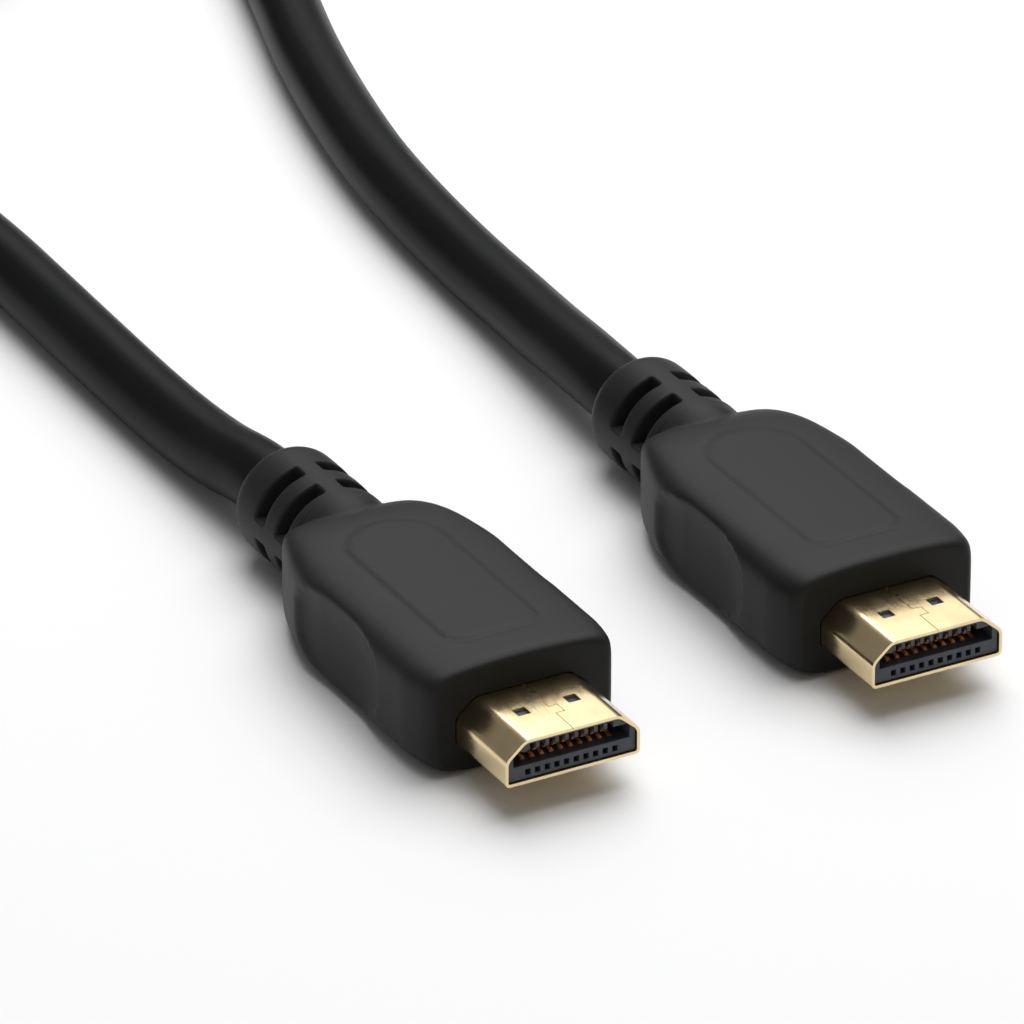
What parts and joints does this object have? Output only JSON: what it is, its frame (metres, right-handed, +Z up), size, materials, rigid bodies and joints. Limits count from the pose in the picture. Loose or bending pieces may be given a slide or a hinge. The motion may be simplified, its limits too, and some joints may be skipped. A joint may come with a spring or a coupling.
{
  "type": "video and audio lead",
  "caption": "Black video and audio lead with a moulded plug and a gold-plated shell on each end, its spare length wound in a flat tied coil.",
  "frame": {"origin": "on the floor, under the middle of the two plugs", "axes": "+X the way both plugs point, +Y from the left plug to the right plug, +Z up"},
  "size_m": [0.2774, 0.096, 0.0159],
  "materials": {
    "moulding": "satin moulded",
    "jacket": "smooth satin",
    "gold_plate": "bright gold plating",
    "insulator": "matt moulded",
    "contact_plate": "thin gold plating on copper alloy",
    "tie": "matt"
  },
  "bodies": {
    "root": {"left_plug_housing": "moulding", "left_plug_shell": "gold_plate", "left_plug_insulator": "insulator", "left_plug_wide_contact_01": "contact_plate", "left_plug_wide_contact_02": "contact_plate", "left_plug_wide_contact_03": "contact_plate", "left_plug_wide_contact_04": "contact_plate", "left_plug_wide_contact_05": "contact_plate", "left_plug_wide_contact_06": "contact_plate", "left_plug_wide_contact_07": "contact_plate", "left_plug_wide_contact_08": "contact_plate", "left_plug_wide_contact_09": "contact_plate", "left_plug_wide_contact_10": "contact_plate", "left_plug_narrow_contact_01": "contact_plate", "left_plug_narrow_contact_02": "contact_plate", "left_plug_narrow_contact_03": "contact_plate", "left_plug_narrow_contact_04": "contact_plate", "left_plug_narrow_contact_05": "contact_plate", "left_plug_narrow_contact_06": "contact_plate", "left_plug_narrow_contact_07": "contact_plate", "left_plug_narrow_contact_08": "contact_plate", "left_plug_narrow_contact_09": "contact_plate", "right_plug_housing": "moulding", "right_plug_shell": "gold_plate", "right_plug_insulator": "insulator", "right_plug_wide_contact_01": "contact_plate", "right_plug_wide_contact_02": "contact_plate", "right_plug_wide_contact_03": "contact_plate", "right_plug_wide_contact_04": "contact_plate", "right_plug_wide_contact_05": "contact_plate", "right_plug_wide_contact_06": "contact_plate", "right_plug_wide_contact_07": "contact_plate", "right_plug_wide_contact_08": "contact_plate", "right_plug_wide_contact_09": "contact_plate", "right_plug_wide_contact_10": "contact_plate", "right_plug_narrow_contact_01": "contact_plate", "right_plug_narrow_contact_02": "contact_plate", "right_plug_narrow_contact_03": "contact_plate", "right_plug_narrow_contact_04": "contact_plate", "right_plug_narrow_contact_05": "contact_plate", "right_plug_narrow_contact_06": "contact_plate", "right_plug_narrow_contact_07": "contact_plate", "right_plug_narrow_contact_08": "contact_plate", "right_plug_narrow_contact_09": "contact_plate", "left_cable_run": "jacket", "right_cable_run": "jacket", "cable_coil": "jacket", "coil_tie": "tie"}
  },
  "joints": []
}
